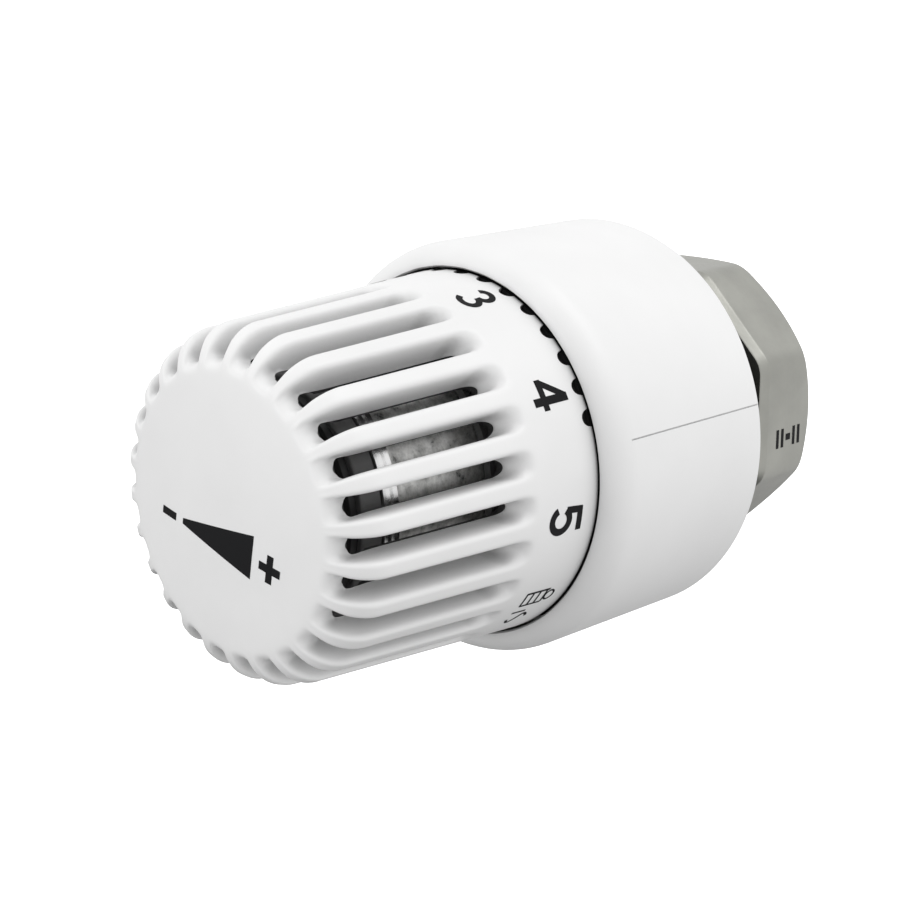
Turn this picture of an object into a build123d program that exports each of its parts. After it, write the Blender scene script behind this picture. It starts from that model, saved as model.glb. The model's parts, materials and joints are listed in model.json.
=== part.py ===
from build123d import *
import math
import os

os.makedirs("parts", exist_ok=True)

# Thermostatic radiator valve head with an M30 x 1.5 union nut.
# Frame: origin at the centre of the nut's open mouth, +X out of the mouth towards the valve, +Z up.
# Angles called "turn" run about X from +Z towards -Y, which is clockwise seen from the handwheel.

# Handwheel
WHEEL_RIM_X = -49.9
WHEEL_RIM_R = 23.1
BARREL_END_X = -82.1
BARREL_END_R = 21.39
SHOULDER_R = 5.8
SHOULDER_X = -81.8
SHOULDER_MID_R = 15.6
FACE_CORNER_X = -87.577
FACE_CORNER_R = 16.12
FACE_X = -88.3
GROOVE_COUNT = 26
GROOVE_PITCH = 360 / GROOVE_COUNT
GROOVE_PHASE = 22.3
GROOVE_W = 3.0
GROOVE_DEPTH = 2.2
GROOVE_REAR_X = -60.6
GROOVE_FRONT_MID = (-84.9, 18.45)
GROOVE_FRONT_END = (-87.9, 16.6)
SLOT_W = 2.6
SLOT_REAR_X = -62.6
SLOT_FRONT_X = -86.0
SLOT_FLOOR_R = 16.6
NOTCH_R = 0.9
NOTCH_STEP = 9.6
NOTCH_FIRST_TURN = -132.3
NOTCH_COUNT = 22

# Collar
COLLAR_R = 26.5
COLLAR_BORE_R = 24.6
COLLAR_REAR_X = -21.5
COLLAR_ROUND_X = -46.4
COLLAR_LIP_X = -49.9
COLLAR_LIP_R = 23.4
COLLAR_LIP_EDGE_R = 23.6
PARTING_TURNS = (77.6, 257.6)
PARTING_W = 0.18
PARTING_DEPTH = 0.12

# Base body and its neck
SEAT_X = -7.0
NECK_R = 12.3
NECK_BORE_R = 10.0
NECK_FLOOR_X = -21.0
WALL_REAR_X = -22.8
WALL_FRONT_X = -25.0
BASE_R = 24.3
BASE_SKIRT_BORE_R = 22.9
BASE_SKIRT_FRONT_X = -42.0
TUBE_R = 19.4
TUBE_BORE_R = 17.75
TUBE_FRONT_X = -53.0
BEAD_R = 20.6
KEY_COUNT = 3
KEYWAY_W = 3.2
KEYWAY_R = 18.4

# Union nut
NUT_AF = 37.6
NUT_SIDES = 8
NUT_LENGTH = 10.6
NUT_CORNER_R = 4.0
NUT_REAR_CHAMFER = 1.2
NUT_REAR_CHAMFER_IN = 0.7
NUT_CONE_LENGTH = 1.3
NUT_CONE_RISE = 1.4
NUT_HUB_X = -14.5
NUT_HUB_R = 16.0
NUT_NECK_HOLE_R = 12.6
NUT_SHOULDER_X = -9.5
THREAD_R = 14.19
THREAD_FRONT_X = -7.0
RELIEF_R = 14.8
SNAP_WIRE_R = 0.7
SNAP_X = -8.75
SNAP_R = 12.75

# Running gear
DRIVE_BORE_R = 17.08
CARRIER_R = 17.0
CARRIER_BORE_R = 16.0
CARRIER_FRONT_X = -61.5
CARRIER_REAR_X = -32.0
CAN_R = 15.75
CAN_WALL = 0.7
CAN_FRONT_X = -76.2
CAN_REAR_X = -46.5
BELLOWS_FIXED_X = -47.3
BELLOWS_PITCH = 2.2
BELLOWS_FOLDS = 9
BELLOWS_R = 10.5
BELLOWS_ROOT_R = 8.0
BELLOWS_WALL = 0.35
RAM_R = 3.0
RAM_FRONT_X = -67.05
CUP_FRONT_X = -45.5
CUP_REAR_X = -31.5
CUP_R = 8.2
CUP_BORE_R = 7.2
SPRING_R = 5.6
SPRING_WIRE_R = 0.55
SPRING_FRONT_X = -43.9
SPRING_LENGTH = 9.0
SPRING_COILS = 4.5
PIN_R = 4.0
PIN_HEAD_R = 6.9
PIN_END_X = -19.3
BUSH_BORE_R = 4.05


def turned(angle):
    """Plane whose local X runs along the head and whose local Z points out radially at this turn."""
    spin = math.radians(angle)
    return Plane(origin=(0, 0, 0), x_dir=(1, 0, 0), z_dir=(0, -math.sin(spin), math.cos(spin)))


# ---- Union nut -------------------------------------------------------------------------------
with BuildPart() as union_nut:
    with BuildSketch(Plane.YZ.offset(-NUT_LENGTH)) as nut_outline:
        RegularPolygon(NUT_AF / 2, NUT_SIDES, major_radius=False, rotation=180 / NUT_SIDES)
        fillet(nut_outline.vertices(), NUT_CORNER_R)
    extrude(amount=NUT_LENGTH)
    # Chamfer that follows the flats at the collar end
    rear_face = union_nut.faces().sort_by(Axis.X)[0]
    chamfer(rear_face.edges(), NUT_REAR_CHAMFER_IN, NUT_REAR_CHAMFER, reference=rear_face)
    # Turned cone that takes the corners back at the mouth
    with BuildSketch(Plane.XZ):
        with BuildLine():
            Polyline(
                (-NUT_LENGTH, 0),
                (-NUT_LENGTH, NUT_AF),
                (-NUT_CONE_LENGTH, NUT_AF),
                (-NUT_CONE_LENGTH, NUT_AF / 2 + NUT_CONE_RISE),
                (0, NUT_AF / 2),
                (0, 0),
                close=True,
            )
        make_face()
    revolve(axis=Axis.X, mode=Mode.INTERSECT)
    with BuildSketch(Plane.YZ.offset(NUT_HUB_X)):
        Circle(NUT_HUB_R)
    extrude(amount=-NUT_HUB_X - NUT_LENGTH)
    chamfer(union_nut.faces().sort_by(Axis.X)[0].edges(), 0.6)
    with BuildSketch(Plane.XZ):
        with BuildLine():
            Polyline(
                (NUT_HUB_X - 1, 0),
                (NUT_HUB_X - 1, NUT_NECK_HOLE_R),
                (NUT_SHOULDER_X, NUT_NECK_HOLE_R),
                (NUT_SHOULDER_X, RELIEF_R),
                (THREAD_FRONT_X, RELIEF_R),
                (THREAD_FRONT_X, THREAD_R),
                (1, THREAD_R),
                (1, 0),
                close=True,
            )
        make_face()
    revolve(axis=Axis.X, mode=Mode.SUBTRACT)
union_nut.part.label = "union_nut"
export_step(union_nut.part, "parts/union_nut.step")

# ---- Snap ring that lets the nut turn on the neck ----------------------------------------------
with BuildPart() as snap_ring:
    with BuildSketch(Plane.XZ):
        with Locations((SNAP_X, SNAP_R)):
            Circle(SNAP_WIRE_R)
    revolve(axis=Axis.X, revolution_arc=330)
snap_ring.part.label = "snap_ring"
export_step(snap_ring.part, "parts/snap_ring.step")

# ---- Base body: neck, rear wall, skirt and the tube that carries the wheel ----------------------
with BuildPart() as base_body:
    with BuildSketch(Plane.XZ):
        with BuildLine():
            Polyline(
                (NECK_FLOOR_X, 5.5),
                (NECK_FLOOR_X, NECK_BORE_R),
                (SEAT_X - 0.5, NECK_BORE_R),
                (SEAT_X, NECK_BORE_R + 0.5),
                (SEAT_X, NECK_R - 0.5),
                (SEAT_X - 0.5, NECK_R),
                (SNAP_X + 0.75, NECK_R),
                (SNAP_X + 0.75, NECK_R - 0.35),
                (SNAP_X - 0.75, NECK_R - 0.35),
                (SNAP_X - 0.75, NECK_R),
                (-15.4, NECK_R),
                (-18.0, 15.0),
                (WALL_REAR_X, 17.5),
                (WALL_REAR_X, BASE_R),
                (BASE_SKIRT_FRONT_X, BASE_R),
                (BASE_SKIRT_FRONT_X, BASE_SKIRT_BORE_R),
                (WALL_FRONT_X, BASE_SKIRT_BORE_R),
                (WALL_FRONT_X, TUBE_R),
                (-45.0, TUBE_R),
                (-45.0, BEAD_R),
                (-46.3, BEAD_R),
                (-46.3, TUBE_R),
                (-48.9, TUBE_R),
                (-48.9, TUBE_R - 0.5),
                (-50.3, TUBE_R - 0.5),
                (-50.3, TUBE_R),
                (TUBE_FRONT_X, TUBE_R),
                (TUBE_FRONT_X, TUBE_BORE_R),
                (WALL_FRONT_X, TUBE_BORE_R),
                (WALL_FRONT_X + 0.5, 5.5),
                close=True,
            )
        make_face()
    revolve(axis=Axis.X)
    # Keyways that stop the sensor carrier from turning
    for k in range(KEY_COUNT):
        with BuildSketch(turned(k * 360 / KEY_COUNT + 40)):
            with Locations(((TUBE_FRONT_X + WALL_FRONT_X) / 2 - 0.5, 0)):
                Rectangle(WALL_FRONT_X - TUBE_FRONT_X - 1, KEYWAY_W)
        extrude(amount=KEYWAY_R, mode=Mode.SUBTRACT)
    # Two stop blocks on the front of the skirt
    for stop_turn in (180 - 126, 180 + 126):
        with BuildSketch(turned(stop_turn)):
            with Locations((-43.0, 0)):
                Rectangle(3.2, 3.6)
        extrude(amount=BASE_R - 0.2)
        with BuildSketch(turned(stop_turn)):
            with Locations((-43.0, 0)):
                Rectangle(3.4, 3.8)
        extrude(amount=BASE_SKIRT_BORE_R - 0.7, mode=Mode.SUBTRACT)
    # Slots that park the two limit clips
    for clip_turn in (150, 210):
        with BuildSketch(turned(clip_turn).offset(19.9)):
            with Locations((-24.0, 0)):
                Rectangle(4.0, 5.2)
        extrude(amount=1.6, mode=Mode.SUBTRACT)
base_body.part.label = "base_body"
export_step(base_body.part, "parts/base_body.step")

# ---- Two limit clips parked in the rear wall ----------------------------------------------------
with BuildPart() as limit_clips:
    for clip_turn in (150, 210):
        with BuildSketch(turned(clip_turn).offset(20.1)):
            with Locations((-25.0, 0)):
                Rectangle(4.2, 4.8)
        extrude(amount=1.2)
        with BuildSketch(turned(clip_turn).offset(19.5)):
            with Locations((-22.25, 0)):
                Rectangle(0.9, 6.4)
        extrude(amount=2.4)
        with BuildSketch(turned(clip_turn).offset(20.1)):
            with Locations((-22.8, 0)):
                Rectangle(0.6, 4.8)
        extrude(amount=1.2)
limit_clips.part.label = "limit_clips"
export_step(limit_clips.part, "parts/limit_clips.step")

# ---- Brass guide bush for the pressure pin -------------------------------------------------------
with BuildPart() as guide_bush:
    with BuildSketch(Plane.XZ):
        with BuildLine():
            Polyline(
                (-25.6, BUSH_BORE_R),
                (-25.6, 7.5),
                (-24.7, 7.5),
                (-24.7, 5.45),
                (-20.6, 5.45),
                (-20.6, BUSH_BORE_R),
                close=True,
            )
        make_face()
    revolve(axis=Axis.X)
guide_bush.part.label = "guide_bush"
export_step(guide_bush.part, "parts/guide_bush.step")

# ---- Collar sleeve --------------------------------------------------------------------------------
with BuildPart() as collar_sleeve:
    with BuildSketch(Plane.XZ):
        with BuildLine():
            Polyline(
                (COLLAR_LIP_X, COLLAR_LIP_EDGE_R),
                (COLLAR_LIP_X + 0.2, COLLAR_LIP_R),
                (COLLAR_LIP_X + 2.2, COLLAR_LIP_R),
                (COLLAR_ROUND_X + 0.5, COLLAR_BORE_R),
                (COLLAR_REAR_X, COLLAR_BORE_R),
                (COLLAR_REAR_X, COLLAR_R - 0.5),
            )
            RadiusArc((COLLAR_REAR_X, COLLAR_R - 0.5), (COLLAR_REAR_X - 0.5, COLLAR_R), -0.5)
            Line((COLLAR_REAR_X - 0.5, COLLAR_R), (COLLAR_ROUND_X, COLLAR_R))
            EllipticalCenterArc(
                (COLLAR_ROUND_X, COLLAR_LIP_EDGE_R),
                COLLAR_ROUND_X - COLLAR_LIP_X,
                COLLAR_R - COLLAR_LIP_EDGE_R,
                start_angle=90,
                arc_size=90,
            )
        make_face()
    revolve(axis=Axis.X)
    # Mould parting lines
    for parting_turn in PARTING_TURNS:
        with BuildSketch(turned(parting_turn).offset(COLLAR_R - PARTING_DEPTH)):
            with Locations(((COLLAR_REAR_X + COLLAR_ROUND_X) / 2, 0)):
                Rectangle(COLLAR_REAR_X - COLLAR_ROUND_X + 1, PARTING_W)
        extrude(amount=1, mode=Mode.SUBTRACT)
collar_sleeve.part.label = "collar_sleeve"
export_step(collar_sleeve.part, "parts/collar_sleeve.step")

# ---- Handwheel --------------------------------------------------------------------------------------
ARC_MID = math.sqrt(0.5) * SHOULDER_R
SHOULDER_CENTRE = (SHOULDER_X, SHOULDER_MID_R)
DOME_RISE = FACE_CORNER_X - FACE_X
DOME_R = (FACE_CORNER_R**2 + DOME_RISE**2) / (2 * DOME_RISE)
DOME_MID_R = FACE_CORNER_R / 2
DOME_MID_X = FACE_X + DOME_R - math.sqrt(DOME_R**2 - DOME_MID_R**2)

# Ring of material that the grooves take away, following the wheel's outline
with BuildPart() as groove_band:
    with BuildSketch(Plane.XZ):
        with BuildLine():
            Polyline(
                (GROOVE_REAR_X + 2, 26),
                (GROOVE_REAR_X + 2, WHEEL_RIM_R - 0.55 - GROOVE_DEPTH),
                (BARREL_END_X, BARREL_END_R - GROOVE_DEPTH),
            )
            ThreePointArc(
                (BARREL_END_X, BARREL_END_R - GROOVE_DEPTH),
                GROOVE_FRONT_MID,
                GROOVE_FRONT_END,
            )
            Polyline(GROOVE_FRONT_END, (-90, GROOVE_FRONT_END[1]), (-90, 26), (GROOVE_REAR_X + 2, 26))
        make_face()
    revolve(axis=Axis.X)

with BuildPart() as groove_bars:
    for i in range(GROOVE_COUNT):
        with BuildSketch(turned(GROOVE_PHASE + i * GROOVE_PITCH).offset(15.0)):
            with Locations(((GROOVE_REAR_X - 95) / 2, 0)):
                SlotOverall(GROOVE_REAR_X + 95, GROOVE_W)
        extrude(amount=12)
    add(groove_band.part, mode=Mode.INTERSECT)

with BuildPart() as handwheel:
    with BuildSketch(Plane.XZ):
        with BuildLine():
            Line((WHEEL_RIM_X, WHEEL_RIM_R), (BARREL_END_X, BARREL_END_R))
            ThreePointArc(
                (BARREL_END_X, BARREL_END_R),
                (SHOULDER_CENTRE[0] - ARC_MID, SHOULDER_CENTRE[1] + ARC_MID),
                (FACE_CORNER_X, FACE_CORNER_R),
            )
            ThreePointArc((FACE_CORNER_X, FACE_CORNER_R), (DOME_MID_X, DOME_MID_R), (FACE_X, 0))
            Polyline((FACE_X, 0), (-85.9, 0), (-85.9, 13.2))
            ThreePointArc((-85.9, 13.2), (-84.4, 16.9), (-80.6, 18.4))
            Polyline(
                (-80.6, 18.4),
                (-60.6, 19.5),
                (-60.6, 21.0),
                (-48.7, 21.0),
                (-48.7, 19.45),
                (-46.8, 19.45),
                (-46.8, 21.9),
                (-51.1, 21.9),
                (-51.1, 22.45),
                (WHEEL_RIM_X, 22.45),
                (WHEEL_RIM_X, WHEEL_RIM_R),
            )
        make_face()
    revolve(axis=Axis.X)
    add(groove_bars.part, mode=Mode.SUBTRACT)
    # Air slots through the floor of each groove
    for i in range(GROOVE_COUNT):
        with BuildSketch(turned(GROOVE_PHASE + i * GROOVE_PITCH).offset(SLOT_FLOOR_R)):
            with Locations(((SLOT_REAR_X + SLOT_FRONT_X) / 2, 0)):
                SlotOverall(SLOT_REAR_X - SLOT_FRONT_X, SLOT_W)
        extrude(amount=8, mode=Mode.SUBTRACT)
    # Half-round notches along the rear rim, four to a number
    for i in range(NOTCH_COUNT):
        with BuildSketch(turned(NOTCH_FIRST_TURN + i * NOTCH_STEP).offset(21.95)):
            with Locations((WHEEL_RIM_X, 0)):
                Circle(NOTCH_R)
        extrude(amount=3, mode=Mode.SUBTRACT)
handwheel.part.label = "handwheel"
export_step(handwheel.part, "parts/handwheel.step")

# ---- Limit ring on the wheel's rear skirt, with its stop lug ---------------------------------------
with BuildPart() as limit_ring:
    with BuildSketch(Plane.XZ):
        with BuildLine():
            Polyline(
                (-51.0, 21.95),
                (-51.0, 22.4),
                (-49.7, 22.4),
                (-49.7, 22.9),
                (-45.4, 22.9),
                (-45.4, 21.95),
                close=True,
            )
        make_face()
    revolve(axis=Axis.X)
    with BuildSketch(turned(180).offset(21.95)):
        with Locations((-44.6, 0)):
            Rectangle(2.0, 3.6)
    extrude(amount=0.8)
limit_ring.part.label = "limit_ring"
export_step(limit_ring.part, "parts/limit_ring.step")

# ---- Ring that keeps the wheel on the base tube -------------------------------------------------------
with BuildPart() as wheel_retaining_ring:
    with BuildSketch(Plane.XZ):
        with Locations((-49.6, (TUBE_R - 0.45 + 20.7) / 2)):
            Rectangle(1.2, 20.7 - TUBE_R + 0.45)
    revolve(axis=Axis.X, revolution_arc=335)
wheel_retaining_ring.part.label = "wheel_retaining_ring"
export_step(wheel_retaining_ring.part, "parts/wheel_retaining_ring.step")

# ---- Threaded drive sleeve inside the wheel -------------------------------------------------------------
with BuildPart() as drive_sleeve:
    with BuildSketch(Plane.XZ):
        with Locations((-56.8, (DRIVE_BORE_R + 20.95) / 2)):
            Rectangle(6.4, 20.95 - DRIVE_BORE_R)
    revolve(axis=Axis.X)
    chamfer(drive_sleeve.edges().filter_by(GeomType.CIRCLE).sort_by(SortBy.RADIUS)[:2], 0.4)
drive_sleeve.part.label = "drive_sleeve"
export_step(drive_sleeve.part, "parts/drive_sleeve.step")

# ---- Sensor carrier, keyed to the base tube ---------------------------------------------------------------
with BuildPart() as sensor_carrier:
    with BuildSketch(Plane.XZ):
        with BuildLine():
            Polyline(
                (CARRIER_FRONT_X, CARRIER_BORE_R),
                (CARRIER_FRONT_X, CARRIER_R),
                (CARRIER_REAR_X, CARRIER_R),
                (CARRIER_REAR_X, 9.6),
                (CARRIER_REAR_X - 2, 9.6),
                (CARRIER_REAR_X - 2, CARRIER_BORE_R),
                (-45.2, CARRIER_BORE_R),
                (-45.2, 9.6),
                (-46.2, 9.6),
                (-46.2, CARRIER_BORE_R),
                (-60.2, CARRIER_BORE_R),
                (-60.2, CARRIER_BORE_R + 0.5),
                (-61.0, CARRIER_BORE_R + 0.5),
                (-61.0, CARRIER_BORE_R),
                close=True,
            )
        make_face()
    revolve(axis=Axis.X)
    for k in range(KEY_COUNT):
        with BuildSketch(turned(k * 360 / KEY_COUNT + 40).offset(CARRIER_R - 0.5)):
            with Locations((-41.0, 0)):
                Rectangle(17.0, KEYWAY_W - 0.3)
        extrude(amount=KEYWAY_R - CARRIER_R + 0.3)
sensor_carrier.part.label = "sensor_carrier"
export_step(sensor_carrier.part, "parts/sensor_carrier.step")

# ---- Clip ring that keeps the sensor in its carrier ----------------------------------------------------------
with BuildPart() as sensor_clip_ring:
    with BuildSketch(Plane.XZ):
        with Locations((-60.6, CARRIER_BORE_R + 0.125)):
            Rectangle(0.7, 0.65)
    revolve(axis=Axis.X, revolution_arc=335)
sensor_clip_ring.part.label = "sensor_clip_ring"
export_step(sensor_clip_ring.part, "parts/sensor_clip_ring.step")

# ---- Sensor can ---------------------------------------------------------------------------------------------------
with BuildPart() as sensor_can:
    with BuildSketch(Plane.XZ):
        with BuildLine():
            Polyline(
                (CAN_FRONT_X, 1.6),
                (CAN_FRONT_X, CAN_R),
                (CAN_REAR_X - 0.6, CAN_R),
                (CAN_REAR_X, CAN_R - 0.6),
                (CAN_REAR_X, RAM_R + 0.08),
                (CAN_REAR_X - CAN_WALL, RAM_R + 0.08),
                (CAN_REAR_X - CAN_WALL, CAN_R - CAN_WALL),
                (CAN_FRONT_X + CAN_WALL, CAN_R - CAN_WALL),
                (CAN_FRONT_X + CAN_WALL, 1.6),
                close=True,
            )
        make_face()
    revolve(axis=Axis.X)
sensor_can.part.label = "sensor_can"
export_step(sensor_can.part, "parts/sensor_can.step")

# ---- Filler plug soldered into the front of the can -----------------------------------------------------------------
with BuildPart() as filler_plug:
    with BuildSketch(Plane.YZ.offset(CAN_FRONT_X - 2.4)):
        Circle(1.55)
    extrude(amount=4.4)
    chamfer(filler_plug.faces().sort_by(Axis.X)[0].edges(), 0.4)
filler_plug.part.label = "filler_plug"
export_step(filler_plug.part, "parts/filler_plug.step")

# ---- Bright rolled crimp around the front edge of the can -----------------------------------------------------------
with BuildPart() as crimp_ring:
    with BuildSketch(Plane.XZ):
        with BuildLine():
            Polyline(
                (-77.4, 13.7),
                (-77.4, 15.6),
                (-77.2, 15.85),
                (-76.65, 15.9),
                (-76.45, 16.2),
                (-75.75, 16.2),
                (-75.5, 15.85),
                (-76.25, 15.85),
                (-76.25, 13.7),
                close=True,
            )
        make_face()
    revolve(axis=Axis.X)
crimp_ring.part.label = "crimp_ring"
export_step(crimp_ring.part, "parts/crimp_ring.step")

# ---- Seal band between crimp and front cap -----------------------------------------------------------------------------
with BuildPart() as seal_band:
    with BuildSketch(Plane.XZ):
        with Locations((-79.1, 14.55)):
            Rectangle(3.2, 1.7)
    revolve(axis=Axis.X)
    fillet(seal_band.edges().filter_by(GeomType.CIRCLE).sort_by(SortBy.RADIUS)[-2:], 0.35)
seal_band.part.label = "seal_band"
export_step(seal_band.part, "parts/seal_band.step")

# ---- Black front cap over the sensor ------------------------------------------------------------------------------------
with BuildPart() as sensor_front_cap:
    with BuildSketch(Plane.XZ):
        with BuildLine():
            Polyline(
                (-82.6, 0),
                (-82.6, 13.4),
                (-81.8, 14.7),
                (-80.8, 14.7),
                (-80.8, 13.6),
                (-77.5, 13.6),
                (-77.5, 12.7),
                (-81.2, 12.7),
                (-81.2, 0),
                close=True,
            )
        make_face()
    revolve(axis=Axis.X)
sensor_front_cap.part.label = "sensor_front_cap"
export_step(sensor_front_cap.part, "parts/sensor_front_cap.step")

# ---- Bellows inside the can ------------------------------------------------------------------------------------------------
fold_outer = []
fold_inner = []
for i in range(BELLOWS_FOLDS):
    fold_x = BELLOWS_FIXED_X - i * BELLOWS_PITCH
    fold_outer += [(fold_x, BELLOWS_ROOT_R), (fold_x - BELLOWS_PITCH / 2, BELLOWS_R)]
    fold_inner += [
        (fold_x, BELLOWS_ROOT_R - BELLOWS_WALL),
        (fold_x - BELLOWS_PITCH / 2, BELLOWS_R - BELLOWS_WALL * 2.2),
    ]
BELLOWS_FREE_X = BELLOWS_FIXED_X - BELLOWS_FOLDS * BELLOWS_PITCH
with BuildPart() as bellows:
    with BuildSketch(Plane.XZ):
        with BuildLine():
            Polyline(
                *fold_outer,
                (BELLOWS_FREE_X, BELLOWS_ROOT_R),
                (BELLOWS_FREE_X - 0.6, BELLOWS_ROOT_R - 0.3),
                (BELLOWS_FREE_X - 0.6, 0),
                (BELLOWS_FREE_X, 0),
                (BELLOWS_FREE_X, BELLOWS_ROOT_R - BELLOWS_WALL),
                *reversed(fold_inner),
                close=True,
            )
        make_face()
    revolve(axis=Axis.X)
bellows.part.label = "bellows"
export_step(bellows.part, "parts/bellows.step")

# ---- Ram pushed rearwards by the bellows --------------------------------------------------------------------------------------
with BuildPart() as sensor_ram:
    with BuildSketch(Plane.XZ):
        with BuildLine():
            Polyline(
                (RAM_FRONT_X, 0),
                (RAM_FRONT_X, 6.5),
                (RAM_FRONT_X + 1.6, 6.5),
                (RAM_FRONT_X + 1.6, RAM_R),
                (CUP_FRONT_X - 0.02, RAM_R),
                (CUP_FRONT_X - 0.02, 0),
                close=True,
            )
        make_face()
    revolve(axis=Axis.X)
sensor_ram.part.label = "sensor_ram"
export_step(sensor_ram.part, "parts/sensor_ram.step")

# ---- Cup that holds the overtravel spring -------------------------------------------------------------------------------------------
with BuildPart() as spring_cup:
    with BuildSketch(Plane.XZ):
        with BuildLine():
            Polyline(
                (CUP_FRONT_X, 0),
                (CUP_FRONT_X, CUP_R - 0.8),
                (CUP_FRONT_X + 0.8, CUP_R),
                (CUP_REAR_X, CUP_R),
                (CUP_REAR_X, CUP_BORE_R),
                (CUP_REAR_X - 0.4, CUP_BORE_R),
                (CUP_REAR_X - 0.4, CUP_BORE_R + 0.4),
                (CUP_REAR_X - 1.2, CUP_BORE_R + 0.4),
                (CUP_REAR_X - 1.2, CUP_BORE_R),
                (CUP_FRONT_X + 1, CUP_BORE_R),
                (CUP_FRONT_X + 1, 0),
                close=True,
            )
        make_face()
    revolve(axis=Axis.X)
spring_cup.part.label = "spring_cup"
export_step(spring_cup.part, "parts/spring_cup.step")

# ---- Overtravel spring --------------------------------------------------------------------------------------------------------------
with BuildPart() as overtravel_spring:
    with BuildLine() as coil:
        Helix(
            pitch=SPRING_LENGTH / SPRING_COILS,
            height=SPRING_LENGTH,
            radius=SPRING_R,
            center=(SPRING_FRONT_X, 0, 0),
            direction=(1, 0, 0),
        )
    with BuildSketch(Plane(origin=coil.line @ 0, z_dir=coil.line % 0)):
        Circle(SPRING_WIRE_R)
    sweep()
overtravel_spring.part.label = "overtravel_spring"
export_step(overtravel_spring.part, "parts/overtravel_spring.step")

# ---- Pressure pin that bears on the valve's stem ------------------------------------------------------------------------------------------
with BuildPart() as pressure_pin:
    with BuildSketch(Plane.XZ):
        with BuildLine():
            Polyline(
                (-34.2, 0),
                (-34.2, PIN_HEAD_R),
                (-33.0, PIN_HEAD_R),
                (-33.0, PIN_R),
                (PIN_END_X - 0.5, PIN_R),
                (PIN_END_X, PIN_R - 0.5),
                (PIN_END_X, 0),
                close=True,
            )
        make_face()
    revolve(axis=Axis.X)
pressure_pin.part.label = "pressure_pin"
export_step(pressure_pin.part, "parts/pressure_pin.step")

# ---- Circlip that keeps the pin's head in the cup -------------------------------------------------------------------------------------------
with BuildPart() as pin_circlip:
    with BuildSketch(Plane.XZ):
        with Locations((CUP_REAR_X - 0.8, 6.5)):
            Rectangle(0.7, 2.1)
    revolve(axis=Axis.X, revolution_arc=320)
pin_circlip.part.label = "pin_circlip"
export_step(pin_circlip.part, "parts/pin_circlip.step")
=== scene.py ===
import json
import math

import bmesh
import bpy
import numpy as np
from mathutils import Matrix, Vector


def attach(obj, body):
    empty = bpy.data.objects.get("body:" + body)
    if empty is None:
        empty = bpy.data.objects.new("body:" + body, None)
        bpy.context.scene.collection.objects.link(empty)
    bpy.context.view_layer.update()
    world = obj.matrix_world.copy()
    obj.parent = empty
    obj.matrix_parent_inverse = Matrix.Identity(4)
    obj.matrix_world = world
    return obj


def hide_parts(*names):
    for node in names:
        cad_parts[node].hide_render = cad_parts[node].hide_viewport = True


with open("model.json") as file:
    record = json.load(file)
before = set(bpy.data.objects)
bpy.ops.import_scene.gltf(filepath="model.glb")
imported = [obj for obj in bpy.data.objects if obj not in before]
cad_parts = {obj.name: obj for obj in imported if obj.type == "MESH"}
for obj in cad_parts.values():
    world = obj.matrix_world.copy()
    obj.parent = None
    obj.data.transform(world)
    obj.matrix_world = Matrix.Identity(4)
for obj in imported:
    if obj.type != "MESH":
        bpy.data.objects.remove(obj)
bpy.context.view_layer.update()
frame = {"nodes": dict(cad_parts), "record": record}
nodes = frame["nodes"]

MM = 0.001
scene = bpy.context.scene

# ---- Camera: about 46 degrees round from the front of the axis and 15 degrees above it ----------
CAM_AZ = math.radians(-45.805)
CAM_EL = math.radians(14.892)
CAM_DISTANCE = 0.2737
CAM_LENS = 80.57
CAM_AIM = Vector((-0.03679, 0.01388, -0.00483))
right = Vector((math.cos(CAM_AZ), math.sin(CAM_AZ), 0))
flat = math.cos(CAM_EL)
back = Vector((math.sin(CAM_AZ) * flat, -math.cos(CAM_AZ) * flat, math.sin(CAM_EL)))
up = back.cross(right)
camera_data = bpy.data.cameras.new("camera")
camera_data.lens = CAM_LENS
camera_data.sensor_width = 36
camera_data.clip_start = 0.01
camera = bpy.data.objects.new("camera", camera_data)
facing_object = Matrix((right, up, back)).transposed().to_4x4()
camera.matrix_world = Matrix.Translation(CAM_AIM + back * CAM_DISTANCE) @ facing_object
scene.collection.objects.link(camera)
scene.camera = camera


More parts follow.
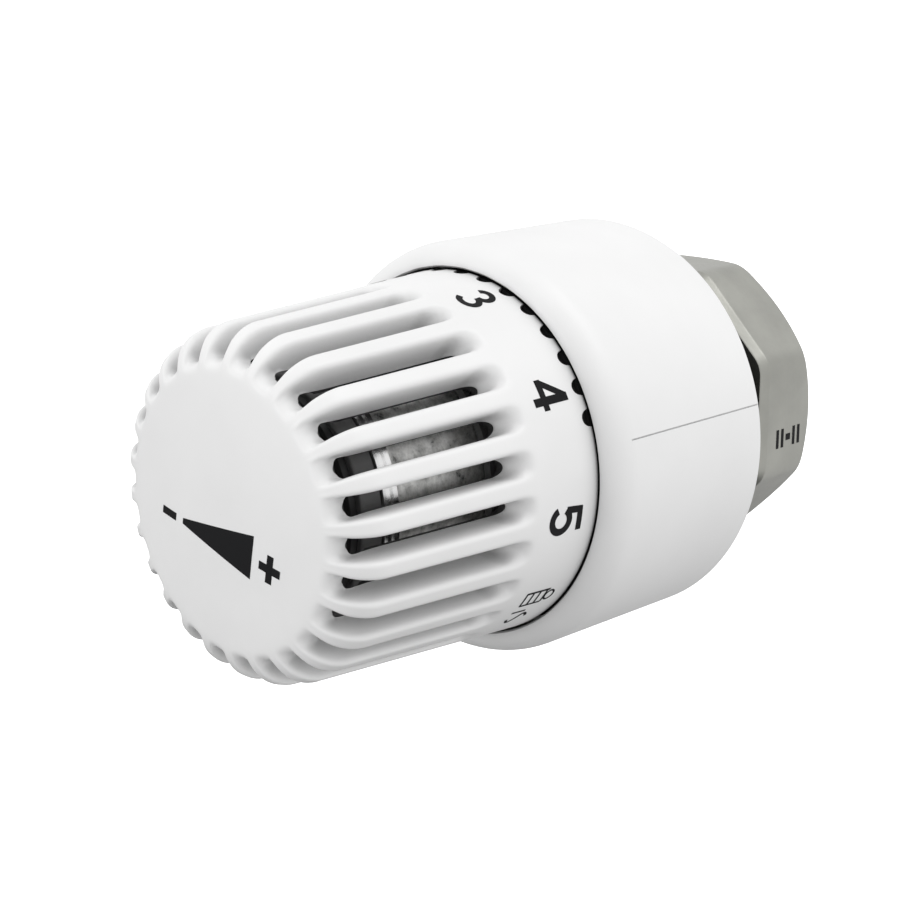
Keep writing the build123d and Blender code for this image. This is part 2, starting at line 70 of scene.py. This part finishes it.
# ---- Materials ---------------------------------------------------------------------------------
class Mat:
    """Small helper round one node material with a Principled shader."""

    def __init__(self, name, color, rough, metal=0.0, **inputs):
        self.mat = bpy.data.materials.new(name)
        self.mat.use_nodes = True
        self.tree = self.mat.node_tree
        self.bsdf = self.tree.nodes["Principled BSDF"]
        self.bsdf.inputs["Base Color"].default_value = (*color, 1)
        self.bsdf.inputs["Roughness"].default_value = rough
        self.bsdf.inputs["Metallic"].default_value = metal
        for key, value in inputs.items():
            self.bsdf.inputs[key.replace("_", " ")].default_value = value
        self.coords = self.tree.nodes.new("ShaderNodeTexCoord")
        self.height = None

    def node(self, kind, **props):
        n = self.tree.nodes.new(kind)
        for key, value in props.items():
            setattr(n, key, value)
        return n

    def link(self, a, b):
        self.tree.links.new(a, b)

    def noise(self, scale, detail=4.0, rough=0.55, stretch=(1, 1, 1)):
        mapping = self.node("ShaderNodeMapping")
        mapping.inputs["Scale"].default_value = stretch
        self.link(self.coords.outputs["Object"], mapping.inputs["Vector"])
        n = self.node("ShaderNodeTexNoise")
        n.inputs["Scale"].default_value = scale
        n.inputs["Detail"].default_value = detail
        n.inputs["Roughness"].default_value = rough
        self.link(mapping.outputs["Vector"], n.inputs["Vector"])
        return n.outputs["Fac"]

    def ramp(self, source, stops):
        r = self.node("ShaderNodeValToRGB")
        while len(r.color_ramp.elements) < len(stops):
            r.color_ramp.elements.new(0.5)
        for element, (place, color) in zip(r.color_ramp.elements, stops):
            element.position = place
            element.color = (*color, 1) if len(color) == 3 else color
        self.link(source, r.inputs["Fac"])
        return r.outputs["Color"]

    def rough_range(self, source, low, high):
        m = self.node("ShaderNodeMapRange")
        m.inputs["To Min"].default_value = low
        m.inputs["To Max"].default_value = high
        self.link(source, m.inputs["Value"])
        self.link(m.outputs["Result"], self.bsdf.inputs["Roughness"])

    def color_from(self, output):
        self.link(output, self.bsdf.inputs["Base Color"])

    def multiply(self, factor):
        """Multiplies what feeds the base colour by a grey factor."""
        before = self.bsdf.inputs["Base Color"].links[0].from_socket
        m = self.node("ShaderNodeMix", data_type="RGBA", blend_type="MULTIPLY")
        m.inputs["Factor"].default_value = 1.0
        self.link(before, m.inputs[6])
        self.link(factor, m.inputs[7])
        self.link(m.outputs[2], self.bsdf.inputs["Base Color"])

    def paint_groove_shade(self, distance, stops):
        """Painted shade in deep grooves: ambient occlusion darkens the base colour."""
        near = self.node("ShaderNodeAmbientOcclusion")
        near.samples = 6
        near.inputs["Distance"].default_value = distance
        self.multiply(self.ramp(near.outputs["AO"], [(place, (v, v, v)) for place, v in stops]))

    def bump(self, source, distance, strength=1.0):
        b = self.node("ShaderNodeBump")
        b.inputs["Strength"].default_value = strength
        b.inputs["Distance"].default_value = distance
        self.link(source, b.inputs["Height"])
        if self.height is not None:
            self.link(self.height, b.inputs["Normal"])
        self.height = b.outputs["Normal"]
        self.link(self.height, self.bsdf.inputs["Normal"])


def plastic(name, color, rough, grain=0.00002, spread=0.03, painted_shade=None, **inputs):
    """Moulded plastic: fine satin grain, slow variation of tone, faint handling marks in the gloss."""
    m = Mat(name, color, rough, **inputs)
    tone = m.noise(60, 3)
    light = tuple(min(1, c * (1 + spread * 0.5)) for c in color)
    dark = tuple(c * (1 - spread) for c in color)
    m.color_from(m.ramp(tone, [(0.3, dark), (0.7, light)]))
    # Optional painted shade: ambient occlusion darkens the colour in grooves and pockets.
    if painted_shade:
        m.paint_groove_shade(*painted_shade)
    m.rough_range(m.noise(240, 5), rough - 0.05, rough + 0.07)
    m.bump(m.noise(5200, 2), grain, 0.35)
    return m.mat


def metal(name, color, rough, grain=0.00003, stretch=(1, 1, 1), spread=0.12):
    """Machined or drawn metal: fine tooling lines, stains and uneven polish."""
    m = Mat(name, color, rough, metal=1.0)
    tone = m.noise(180, 5)
    m.color_from(m.ramp(tone, [(0.3, tuple(c * (1 - spread) for c in color)), (0.7, color)]))
    m.rough_range(m.noise(700, 4, stretch=stretch), rough - 0.07, rough + 0.1)
    m.bump(m.noise(1500, 3, stretch=stretch), grain, 0.4)
    return m.mat


# Painted shade for the wheel's grooves: occlusion distance, then occlusion levels and the grey each
# darkens the colour to.
PAINTED_POCKET_SHADE = (0.003, [(0.12, 0.25), (0.45, 0.62), (0.75, 0.95), (0.9, 1.0)])
white = plastic("white_plastic", (0.80, 0.80, 0.80), 0.38, painted_shade=PAINTED_POCKET_SHADE)
off_white = plastic("base_plastic", (0.66, 0.66, 0.65), 0.55)
# Painted shade: the inside of the wheel's shell and its deep slot walls are white plastic like the rest,
# coloured near black for the shade they lie in.
inside = plastic("painted_shade_inside", (0.025, 0.025, 0.025), 0.6)
black = plastic("black_plastic", (0.012, 0.012, 0.012), 0.5)
grey = plastic("grey_plastic", (0.11, 0.11, 0.11), 0.45)
ink = plastic("ink", (0.006, 0.006, 0.007), 0.6, grain=0.000005, Specular_IOR_Level=0.15)
bright = metal("bright_metal", (0.85, 0.85, 0.85), 0.22)
steel = metal("spring_steel", (0.55, 0.55, 0.56), 0.32)
brass = metal("brass", (0.75, 0.57, 0.27), 0.3, stretch=(8, 1, 1))
bronze = metal("bronze_foil", (0.66, 0.45, 0.24), 0.35)

# Nickel-plated nut: turned lines, edges rubbed round, painted shade on the face turned towards the collar
nut_look = Mat("nut_nickel", (0.40, 0.40, 0.37), 0.38, metal=1.0)
nickel_tones = [(0.3, (0.33, 0.33, 0.305)), (0.7, (0.385, 0.385, 0.355))]
nut_look.color_from(nut_look.ramp(nut_look.noise(180, 5), nickel_tones))
# Painted shade: the colour of faces turned towards -X, against the collar, is darkened to a tenth.
collar_side_shade = nut_look.node("ShaderNodeVectorMath", operation="DOT_PRODUCT")
collar_side_shade.inputs[1].default_value = (-1, 0, 0)
nut_look.link(nut_look.coords.outputs["Normal"], collar_side_shade.inputs[0])
nut_look.multiply(nut_look.ramp(collar_side_shade.outputs["Value"], [(0.7, (1, 1, 1)), (0.9, (0.1, 0.1, 0.1))]))
nut_look.rough_range(nut_look.noise(700, 4, stretch=(6, 1, 1)), 0.32, 0.46)
rubbed = nut_look.node("ShaderNodeBevel", samples=6)
rubbed.inputs["Radius"].default_value = 0.0004
nut_look.height = rubbed.outputs["Normal"]
nut_look.bump(nut_look.noise(1500, 3, stretch=(6, 1, 1)), 0.00003, 0.4)
nickel = nut_look.mat

# Mottled drawn can: cloudy patches of oxide between brighter metal
can = Mat("can_metal", (0.4, 0.4, 0.4), 0.42, metal=0.85)
patches = can.noise(420, 6, 0.7)
greys = [(0.32, 0.08), (0.42, 0.42), (0.55, 0.66), (0.7, 0.9)]
can.color_from(can.ramp(patches, [(place, (v, v, v * 0.98)) for place, v in greys]))
can.rough_range(can.noise(900, 4), 0.3, 0.6)
can.bump(can.noise(800, 5), 0.00008, 0.6)
can_metal = can.mat

MATERIAL_OF = {
    "white_plastic": white,
    "base_plastic": off_white,
    "black_plastic": black,
    "grey_plastic": grey,
    "nut_nickel": nickel,
    "bright_metal": bright,
    "can_metal": can_metal,
    "spring_steel": steel,
    "brass": brass,
    "bronze_foil": bronze,
}
for part in frame["record"]["subparts"]:
    node = nodes[part["node"]]
    node.data.materials.clear()
    node.data.materials.append(MATERIAL_OF[part["material_slot"]])


# ---- Handwheel shell -----------------------------------------------------------------------------
# The outside is one profile turned about X: a cone, a shoulder arc and a shallow dome. s is the
# distance along it from the rear rim, u the distance round it. Angles run from +Z towards -Y.
RIM_X, RIM_R = -49.9, 23.1
CONE_ANGLE = math.radians(93.05)
ARC_CX, ARC_CR, ARC_R = -81.8, 15.6, 5.8
DOME_ANGLE = math.radians(174.86)
CONE_END = (ARC_CX + ARC_R * math.cos(CONE_ANGLE), ARC_CR + ARC_R * math.sin(CONE_ANGLE))
CONE_LEN = math.hypot(CONE_END[0] - RIM_X, CONE_END[1] - RIM_R)
ARC_LEN = ARC_R * (DOME_ANGLE - CONE_ANGLE)
DOME_START = (ARC_CX + ARC_R * math.cos(DOME_ANGLE), ARC_CR + ARC_R * math.sin(DOME_ANGLE))
DOME_R = DOME_START[1] / math.sin(DOME_ANGLE)
DOME_LEN = DOME_R * (math.pi - DOME_ANGLE)
DOME_CX = DOME_START[0] - DOME_R * math.cos(DOME_ANGLE)
GROOVES = 26
PITCH = 2 * math.pi / GROOVES
PHASE = math.radians(22.5)
BARREL_HALF = 2.72
SLOT_HALF = 1.30
SLOT_S0, SLOT_S1 = 12.35, 38.3
SECTOR_S0, SECTOR_S1 = 8.6, 42.6
SHELL_DEPTH = 2.4
THICKNESS = [(9.0, 3.0), (13.0, 4.2), (33.0, 4.2), (38.0, SHELL_DEPTH)]
WALL_LEFT = 0.05


def profile(s):
    """x, r and outward normal of the shell at s, for arrays."""
    s = np.asarray(s, float)
    f = np.clip(s / CONE_LEN, -1, 1)
    a = np.clip(CONE_ANGLE + (s - CONE_LEN) / ARC_R, CONE_ANGLE, DOME_ANGLE)
    b = np.clip(DOME_ANGLE + (s - CONE_LEN - ARC_LEN) / DOME_R, DOME_ANGLE, math.pi)
    x = np.where(s < CONE_LEN, RIM_X + (CONE_END[0] - RIM_X) * f, ARC_CX + ARC_R * np.cos(a))
    r = np.where(s < CONE_LEN, RIM_R + (CONE_END[1] - RIM_R) * f, ARC_CR + ARC_R * np.sin(a))
    dome = s > CONE_LEN + ARC_LEN
    x = np.where(dome, DOME_CX + DOME_R * np.cos(b), x)
    r = np.where(dome, DOME_R * np.sin(b), r)
    n = np.where(dome, b, np.where(s < CONE_LEN, CONE_ANGLE, a))
    return x, r, np.cos(n), np.sin(n)


def on_shell(s, turn, depth=0.0):
    """Points in metres on the shell, sunk by depth along its normal."""
    x, r, nx, nr = profile(s)
    x, r, turn = np.broadcast_arrays(x - depth * nx, r - depth * nr, turn)
    return np.stack([x, -r * np.sin(turn), r * np.cos(turn)], -1) * MM


def inner_depth(s):
    """How far the inside of the shell lies below the outside."""
    return np.interp(s, *zip(*THICKNESS))


def half_pitch(s):
    return profile(s)[1] * PITCH / 2


class Builder:
    """Collects grids of points as quads and welds them into one smooth mesh."""

    def __init__(self):
        self.points, self.faces, self.slots, self.count = [], [], [], 0

    def grid(self, pts, wrap=False, material=0):
        rows, cols = pts.shape[:2]
        i, j = np.meshgrid(np.arange(rows - 1), np.arange(cols if wrap else cols - 1), indexing="ij")
        k = (j + 1) % cols
        near, far = i * cols, (i + 1) * cols
        quad = np.stack([near + j, near + k, far + k, far + j], -1).reshape(-1, 4)
        self.faces.append(quad + self.count)
        self.slots.append(np.full(len(quad), material))
        self.points.append(pts.reshape(-1, 3))
        self.count += rows * cols

    def build(self, name, *materials, weld=2e-6):
        mesh = bpy.data.meshes.new(name)
        mesh.from_pydata(np.concatenate(self.points).tolist(), [], np.concatenate(self.faces).tolist())
        mesh.polygons.foreach_set("material_index", np.concatenate(self.slots).astype(np.int32))
        work = bmesh.new()
        work.from_mesh(mesh)
        bmesh.ops.remove_doubles(work, verts=work.verts, dist=weld)
        bmesh.ops.recalc_face_normals(work, faces=work.faces)
        for face in work.faces:
            face.smooth = True
        work.to_mesh(mesh)
        work.free()
        for material in materials:
            mesh.materials.append(material)
        piece = bpy.data.objects.new(name, mesh)
        scene.collection.objects.link(piece)
        return piece


# One row per ring round a groove, from the inside of the slot out to the crest of the rib:
# half-width and depth at the sides, reach and depth at the rear end, reach and depth at the front end
GROOVE_RINGS = [
    (1.30, 4.15, 0.00, 3.60, 0.00, 2.30),
    (1.30, 3.72, 0.00, 2.85, 0.00, 1.95),
    (1.31, 3.62, 0.02, 2.72, 0.02, 1.83),
    (1.335, 3.45, 0.08, 2.60, 0.06, 1.74),
    (1.345, 2.60, 0.33, 2.30, 0.22, 1.50),
    (1.355, 1.85, 0.62, 1.96, 0.40, 1.22),
    (1.365, 1.30, 0.90, 1.60, 0.58, 0.97),
    (1.38, 0.96, 1.16, 1.25, 0.76, 0.74),
    (1.405, 0.72, 1.40, 0.94, 0.93, 0.54),
    (1.45, 0.52, 1.64, 0.65, 1.10, 0.38),
    (1.53, 0.335, 1.88, 0.41, 1.28, 0.24),
    (1.635, 0.19, 2.12, 0.225, 1.47, 0.135),
    (1.77, 0.085, 2.38, 0.095, 1.70, 0.055),
    (1.94, 0.025, 2.68, 0.025, 1.95, 0.015),
    (2.15, 0.0, 3.00, 0.0, 2.25, 0.0),
]
SIDE_SAMPLES, END_SAMPLES = 40, 24
SHALLOW_FROM, SHALLOW_TO, SHALLOW = 31.0, 38.3, 0.72


def slot_path():
    """Samples round the groove: place along a straight side or None, angle round an end, which side."""
    path = [(i / SIDE_SAMPLES, None, 1.0) for i in range(SIDE_SAMPLES)]
    path += [(None, math.pi / 2 * (1 - 2 * i / END_SAMPLES), 1.0) for i in range(END_SAMPLES)]
    path += [(1 - i / SIDE_SAMPLES, None, -1.0) for i in range(SIDE_SAMPLES)]
    path += [(None, -math.pi / 2 * (1 - 2 * i / END_SAMPLES), -1.0) for i in range(END_SAMPLES)]
    return path


PATH = slot_path()
STRAIGHT_0, STRAIGHT_1 = SLOT_S0 + SLOT_HALF, SLOT_S1 - SLOT_HALF


def ring(width, side_depth, rear, rear_depth, front, front_depth):
    """s, u and depth of every path sample on one ring round a groove."""
    blunt = 1.0 - 0.35 * min(1.0, (width - SLOT_HALF) / 0.25)
    s, u, depth = [], [], []
    for along, angle, side in PATH:
        if along is not None:
            s.append(STRAIGHT_0 + (STRAIGHT_1 - STRAIGHT_0) * along)
            u.append(side * width)
            depth.append(side_depth)
            continue
        reach, end_depth = (front, front_depth) if side > 0 else (rear, rear_depth)
        c, d = math.cos(angle), math.sin(angle)
        base = STRAIGHT_1 if side > 0 else STRAIGHT_0
        s.append(base + side * (SLOT_HALF + reach) * abs(c) ** blunt)
        u.append(math.copysign(width * abs(d) ** blunt, d))
        depth.append(side_depth * d * d + end_depth * c * c)
    s, u, depth = np.array(s), np.array(u), np.array(depth)
    squeeze = (half_pitch(s) - SLOT_HALF) / (BARREL_HALF - SLOT_HALF)
    out = np.maximum(np.abs(u) - SLOT_HALF, 0) * squeeze + np.minimum(np.abs(u), SLOT_HALF)
    fade = np.clip((s - SHALLOW_FROM) / (SHALLOW_TO - SHALLOW_FROM), 0, 1)
    side_only = np.array([1.0 if along is not None else 0.0 for along, _, _ in PATH])
    shallower = 1 - (1 - SHALLOW) * fade**2 * side_only
    depth = np.minimum(depth * shallower, inner_depth(s) - WALL_LEFT)
    return s, np.sign(u) * out, depth


def border():
    """s and u of the path samples carried out to the edge of the groove's sector."""
    s, u = [], []
    for along, angle, side in PATH:
        if along is not None:
            sk = STRAIGHT_0 + (STRAIGHT_1 - STRAIGHT_0) * along
            s.append(sk)
            u.append(side * float(half_pitch(sk)))
            continue
        base, limit = (STRAIGHT_1, SECTOR_S1) if side > 0 else (STRAIGHT_0, SECTOR_S0)
        turn = abs(angle) / (math.pi / 2)
        sk = base + (limit - base) * min(1.0, 2 * (1 - turn))
        s.append(sk)
        u.append(math.copysign(float(half_pitch(sk)) * min(1.0, 2 * turn), angle))
    return np.array(s), np.array(u)


shell = Builder()
border_s, border_u = border()
rings = [ring(*row) for row in GROOVE_RINGS]
last_s, last_u, last_depth = rings[-1]
for f in (0.33, 0.66, 1.0):
    ring_s = last_s + (border_s - last_s) * f
    rings.append((ring_s, last_u + (border_u - last_u) * f, last_depth * (1 - f)))
slot_s, slot_u, _ = rings[0]
inner = [(slot_s, slot_u, inner_depth(slot_s) - 0.03)]
for f in (0.03, 0.4, 1.0):
    inner_s = slot_s + (border_s - slot_s) * f
    inner.append((inner_s, slot_u + (border_u - slot_u) * f, inner_depth(inner_s)))
rear_u = np.sort(border_u[np.isclose(border_s, SECTOR_S0)])
front_u = np.sort(border_u[np.isclose(border_s, SECTOR_S1)])
rear_turns, front_turns = [], []
for i in range(GROOVES):
    middle = PHASE + i * PITCH
    # The inside of the shell and the deep slot walls take material 1, the near-black painted shade.
    rows = [on_shell(s, middle + u / profile(s)[1], depth) for s, u, depth in inner[::-1] + rings[:2]]
    shell.grid(np.stack(rows), wrap=True, material=1)
    rows = [on_shell(s, middle + u / profile(s)[1], depth) for s, u, depth in rings[1:]]
    shell.grid(np.stack(rows), wrap=True)
    rear_turns += (middle + rear_u[:-1] / float(profile(SECTOR_S0)[1])).tolist()
    front_turns += (middle + front_u[:-1] / float(profile(SECTOR_S1)[1])).tolist()

# Face: rows from the front of the grooves to the middle
total = CONE_LEN + ARC_LEN + DOME_LEN
face_rows = np.linspace(SECTOR_S1, total - 0.02, 16)
face_turns = np.array(front_turns)
shell.grid(np.stack([on_shell(s, face_turns) for s in face_rows]), wrap=True)
# The inside of the face takes material 1, the near-black painted shade.
shell.grid(np.stack([on_shell(s, face_turns, SHELL_DEPTH) for s in face_rows]), wrap=True, material=1)

# Number band behind the grooves
RIM_BAND = 1.3
band_rows = np.linspace(RIM_BAND, SECTOR_S0, 8)
shell.grid(np.stack([on_shell(s, np.array(rear_turns)) for s in band_rows]), wrap=True)

# Rear rim with its half-round notches
NOTCH_R = 1.05
NOTCH_FIRST, NOTCH_STEP, NOTCH_COUNT = -132.3, 9.6, 22
NOTCH_TURNS = [math.radians(NOTCH_FIRST + NOTCH_STEP * k) for k in range(NOTCH_COUNT)]
rim_turns = np.linspace(0, 2 * math.pi, 1440, endpoint=False)
dip = np.zeros_like(rim_turns)
for turn in NOTCH_TURNS:
    away = (rim_turns - turn + math.pi) % (2 * math.pi) - math.pi
    dip = np.maximum(dip, np.sqrt(np.maximum(0, NOTCH_R**2 - (away * RIM_R) ** 2)))
RIM_ROWS = [
    (RIM_BAND, 0.0),
    (0.8, 0.0),
    (0.3, 0.0),
    (0.0, 0.0),
    (-0.2, 0.01),
    (-0.27, 0.04),
    (-0.3, 0.1),
    (-0.3, 0.7),
]
rows = [on_shell(s + dip * (1 - s / RIM_BAND), rim_turns, depth) for s, depth in RIM_ROWS]
shell.grid(np.stack(rows), wrap=True)
wheel = shell.build("handwheel_shell", white, inside)
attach(wheel, "wheel")
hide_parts("handwheel")


# ---- Printed marks -------------------------------------------------------------------------------------
def stroke(points, width):
    """Flat ribbon of this width along a polyline: rows of three points across."""
    p = np.array(points, float)
    d = np.gradient(p, axis=0)
    d /= np.linalg.norm(d, axis=1)[:, None]
    side = np.stack([-d[:, 1], d[:, 0]], -1) * width / 2
    return np.stack([p + side, p, p - side], 1)


def line(a, b, n=12):
    return [(a[0] + (b[0] - a[0]) * i / n, a[1] + (b[1] - a[1]) * i / n) for i in range(n + 1)]


def arc(cx, cy, rx, ry, start, end, n=28):
    turns = [math.radians(start + (end - start) * i / n) for i in range(n + 1)]
    return [(cx + rx * math.cos(t), cy + ry * math.sin(t)) for t in turns]


GLYPHS = {
    "0": [(arc(0, 0, 1.3, 2.25, 0, 360, 48), 0.9)],
    "1": [(line((0.35, -2.7), (0.35, 2.7)), 1.0), (line((0.6, 2.3), (-1.05, 1.35)), 0.8)],
    "2": [
        (arc(0.0, 1.1, 1.25, 1.2, 170, -38) + line((0.85, 0.25), (-1.25, -2.0), 8)[1:], 0.92),
        (line((-1.7, -2.25), (1.7, -2.25)), 0.92),
    ],
    "3": [(arc(0, 1.22, 1.1, 1.1, 165, -88), 0.82), (arc(0, -1.2, 1.28, 1.17, 86, -162), 0.82)],
    "4": [
        (line((0.78, -2.7), (0.78, 2.7)), 1.02),
        (line((-1.9, -1.05), (1.95, -1.05)), 0.9),
        (line((0.62, 2.35), (-1.5, -0.9)), 0.82),
    ],
    "5": [
        (line((-1.45, 2.28), (1.6, 2.28)), 0.88),
        (line((-1.05, 2.6), (-1.28, 0.05)), 0.86),
        (arc(-0.08, -0.85, 1.42, 1.42, 148, -158), 0.92),
    ],
}


def mark(name, strokes, place, body, material=None):
    """Prints strokes given in local millimetres, mapped by place(a, b) onto a surface."""
    print_mesh = Builder()
    for points, width in strokes:
        ribbon = stroke(points, width)
        print_mesh.grid(place(ribbon[..., 0], ribbon[..., 1]))
    piece = print_mesh.build(name, material or ink, weld=1e-8)
    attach(piece, body)
    return piece


def band_place(turn_deg, s_middle, lift=0.03):
    """Local a runs round the wheel, b along it towards the collar."""

    def place(a, b):
        s = s_middle - b
        return on_shell(s, math.radians(turn_deg) + a / profile(s)[1], -lift)

    return place


def face_place(tilt_deg, y0, z0, lift=0.03):
    """Local a runs to the right as the face is read, b up; tilt turns the mark clockwise."""
    tilt = math.radians(tilt_deg)

    def place(a, b):
        right_ = a * math.cos(tilt) + b * math.sin(tilt) - y0
        up_ = -a * math.sin(tilt) + b * math.cos(tilt) + z0
        radius = np.hypot(right_, up_)
        x = DOME_CX - np.sqrt(DOME_R**2 - radius**2) - lift
        return np.stack([x, -right_, up_], -1) * MM

    return place


NUMBER_S = 4.95
NUMBER_TURN = {"0": -134.0, "1": -56.4, "2": -17.9, "3": 20.6, "4": 59.4, "5": 98.0}
for digit, turn in NUMBER_TURN.items():
    mark("number_" + digit, GLYPHS[digit], band_place(turn, NUMBER_S), "wheel")
snow = []
for k in range(3):
    c, d = math.cos(math.radians(60 * k + 30)), math.sin(math.radians(60 * k + 30))
    snow.append((line((-2.1 * c, -2.1 * d), (2.1 * c, 2.1 * d)), 0.42))
for k in range(6):
    t = math.radians(60 * k + 30)
    tip = (1.25 * math.cos(t), 1.25 * math.sin(t))
    for spread in (-50, 50):
        e = t + math.radians(spread)
        snow.append((line(tip, (tip[0] + 0.75 * math.cos(e), tip[1] + 0.75 * math.sin(e)), 4), 0.34))
mark("frost_sign", snow, band_place(-95.2, NUMBER_S), "wheel")

# Small generic pictograms after the last number: a radiator and a warm-air wave
radiator = [(line((-1.2, -2.4), (-1.2, 1.6)), 0.34)]
for k in range(4):
    b = -2.3 + 1.15 * k
    radiator.append((line((-1.2, b), (1.1, b), 6), 0.3))
radiator.append((line((1.1, -2.3), (1.1, 1.15)), 0.3))
radiator.append((arc(0.0, 2.0, 0.85, 0.7, -90, 270, 24), 0.3))
mark("radiator_sign", radiator, band_place(127.0, NUMBER_S), "wheel")
wave = [(0.9 * math.sin(t * 2 * math.pi), -1.6 + 3.2 * t) for t in np.linspace(0, 1, 30)]
wave_strokes = [(wave, 0.42), (line((-1.7, -1.9), (-1.7, 0.4)), 0.34)]
mark("wave_sign", wave_strokes, band_place(137.6, NUMBER_S + 0.7), "wheel")

# Generic less-to-more mark on the face: minus, a widening wedge, plus
MARK_TILT, MARK_Y, MARK_Z = 11.0, 0.7, -2.9
WEDGE_FROM, WEDGE_TO, WEDGE_TIP, WEDGE_GROWTH = -6.3, 6.0, 0.35, 2.35
wedge_rows = np.linspace(WEDGE_FROM, WEDGE_TO, 40)
wedge_half = WEDGE_TIP + (wedge_rows - WEDGE_FROM) / (WEDGE_TO - WEDGE_FROM) * WEDGE_GROWTH
wedge = Builder()
spread = np.linspace(-1, 1, 7)
wedge_a = np.repeat(wedge_rows[:, None], 7, 1)
wedge_b = wedge_half[:, None] * spread[None, :] + 0.25 * wedge_half[:, None] - 0.6
wedge.grid(face_place(MARK_TILT, MARK_Y, MARK_Z)(wedge_a, wedge_b))
wedge_piece = wedge.build("wedge_mark", ink, weld=1e-8)
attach(wedge_piece, "wheel")
face = face_place(MARK_TILT, MARK_Y, MARK_Z)
mark("minus_mark", [(line((-10.2, -0.6), (-7.6, -0.6)), 0.95)], face, "wheel")
plus = [(line((7.2, -0.2), (10.6, -0.2)), 1.0), (line((8.9, -1.9), (8.9, 1.5)), 1.0)]
mark("plus_mark", plus, face, "wheel")


# Index line on the collar, beside the number that is set
COLLAR_R, COLLAR_INK_R = 26.5, 26.52


def collar_place(turn_deg, x_middle):
    def place(a, b):
        turn = math.radians(turn_deg) + a / COLLAR_R
        x = x_middle + b
        return np.stack([x, -COLLAR_INK_R * np.sin(turn), COLLAR_INK_R * np.cos(turn)], -1) * MM

    return place


mark("index_line", [(line((0, -1.6), (0, 1.6)), 0.7)], collar_place(-17.9, -42.0), "base")



# Plain etched bars on one flat of the nut
NUT_INK_Y = -18.83


def flat_place(x_middle, z_middle):
    def place(a, b):
        return np.stack([x_middle + a, np.full_like(a, NUT_INK_Y), z_middle + b], -1) * MM

    return place


bars = [(line((x, -1.3), (x, 1.3)), 0.55) for x in (-2.4, -1.3, 1.3, 2.4)]
bars.append((line((-0.5, 0), (0.5, 0)), 0.9))
mark("nut_bars", bars, flat_place(-4.6, -3.0), "nut")

# ---- Floor, lights and surroundings ----------------------------------------------------------------
floor_mesh = bpy.data.meshes.new("floor")
floor_mesh.from_pydata([(-9, -9, 0), (9, -9, 0), (9, 9, 0), (-9, 9, 0)], [], [(0, 1, 2, 3)])
floor = bpy.data.objects.new("floor", floor_mesh)
FLOOR_Z = -0.16
floor.location = (0, 0, FLOOR_Z)
floor.visible_diffuse = False
floor.visible_glossy = False
scene.collection.objects.link(floor)
floor_look = Mat("floor_pale", (0.93, 0.93, 0.93), 0.9)
floor_look.rough_range(floor_look.noise(4, 2), 0.85, 0.95)
floor_look.bsdf.inputs["Emission Color"].default_value = (1, 1, 1, 1)
floor_look.bsdf.inputs["Emission Strength"].default_value = 0.75
floor_mesh.materials.append(floor_look.mat)

# Studio surroundings: white behind, soft light from above, darker below
world = bpy.data.worlds.new("studio")
scene.world = world
world.use_nodes = True
tree = world.node_tree
background = tree.nodes["Background"]
coords = tree.nodes.new("ShaderNodeTexCoord")
along = tree.nodes.new("ShaderNodeVectorMath")
along.operation = "DOT_PRODUCT"
along.inputs[1].default_value = Vector((0.25, -0.35, 0.90)).normalized()
ramp = tree.nodes.new("ShaderNodeValToRGB")
half = tree.nodes.new("ShaderNodeMapRange")
half.inputs["From Min"].default_value = -1
tree.links.new(coords.outputs["Generated"], along.inputs[0])
tree.links.new(along.outputs["Value"], half.inputs["Value"])
tree.links.new(half.outputs["Result"], ramp.inputs["Fac"])
SKY = [(0.0, 0.13), (0.22, 0.30), (0.34, 0.93), (0.60, 0.98), (1.0, 0.98)]
while len(ramp.color_ramp.elements) < len(SKY):
    ramp.color_ramp.elements.new(0.5)
for element, (place, level) in zip(ramp.color_ramp.elements, SKY):
    element.position = place
    element.color = (level, level, level, 1)
tree.links.new(ramp.outputs["Color"], background.inputs["Color"])
white_back = tree.nodes.new("ShaderNodeBackground")
mix = tree.nodes.new("ShaderNodeMixShader")
path = tree.nodes.new("ShaderNodeLightPath")
tree.links.new(path.outputs["Is Camera Ray"], mix.inputs["Fac"])
tree.links.new(background.outputs["Background"], mix.inputs[1])
tree.links.new(white_back.outputs["Background"], mix.inputs[2])
white_back.inputs["Color"].default_value = (1, 1, 1, 1)
tree.links.new(mix.outputs["Shader"], tree.nodes["World Output"].inputs["Surface"])


def softbox(name, place, aim, size, power):
    light = bpy.data.lights.new(name, "AREA")
    light.shape = "RECTANGLE"
    light.size, light.size_y = size
    light.energy = power
    lamp = bpy.data.objects.new(name, light)
    lamp.location = place
    lamp.rotation_euler = (Vector(aim) - Vector(place)).to_track_quat("-Z", "Y").to_euler()
    scene.collection.objects.link(lamp)


MIDDLE = (-0.045, 0, 0)
softbox("key", (0.10, -0.22, 0.45), MIDDLE, (0.35, 0.35), 0.6)
softbox("face_fill", (-0.6, 0.25, 0.05), MIDDLE, (0.4, 0.4), 1.05)
scene.view_settings.view_transform = "Standard"
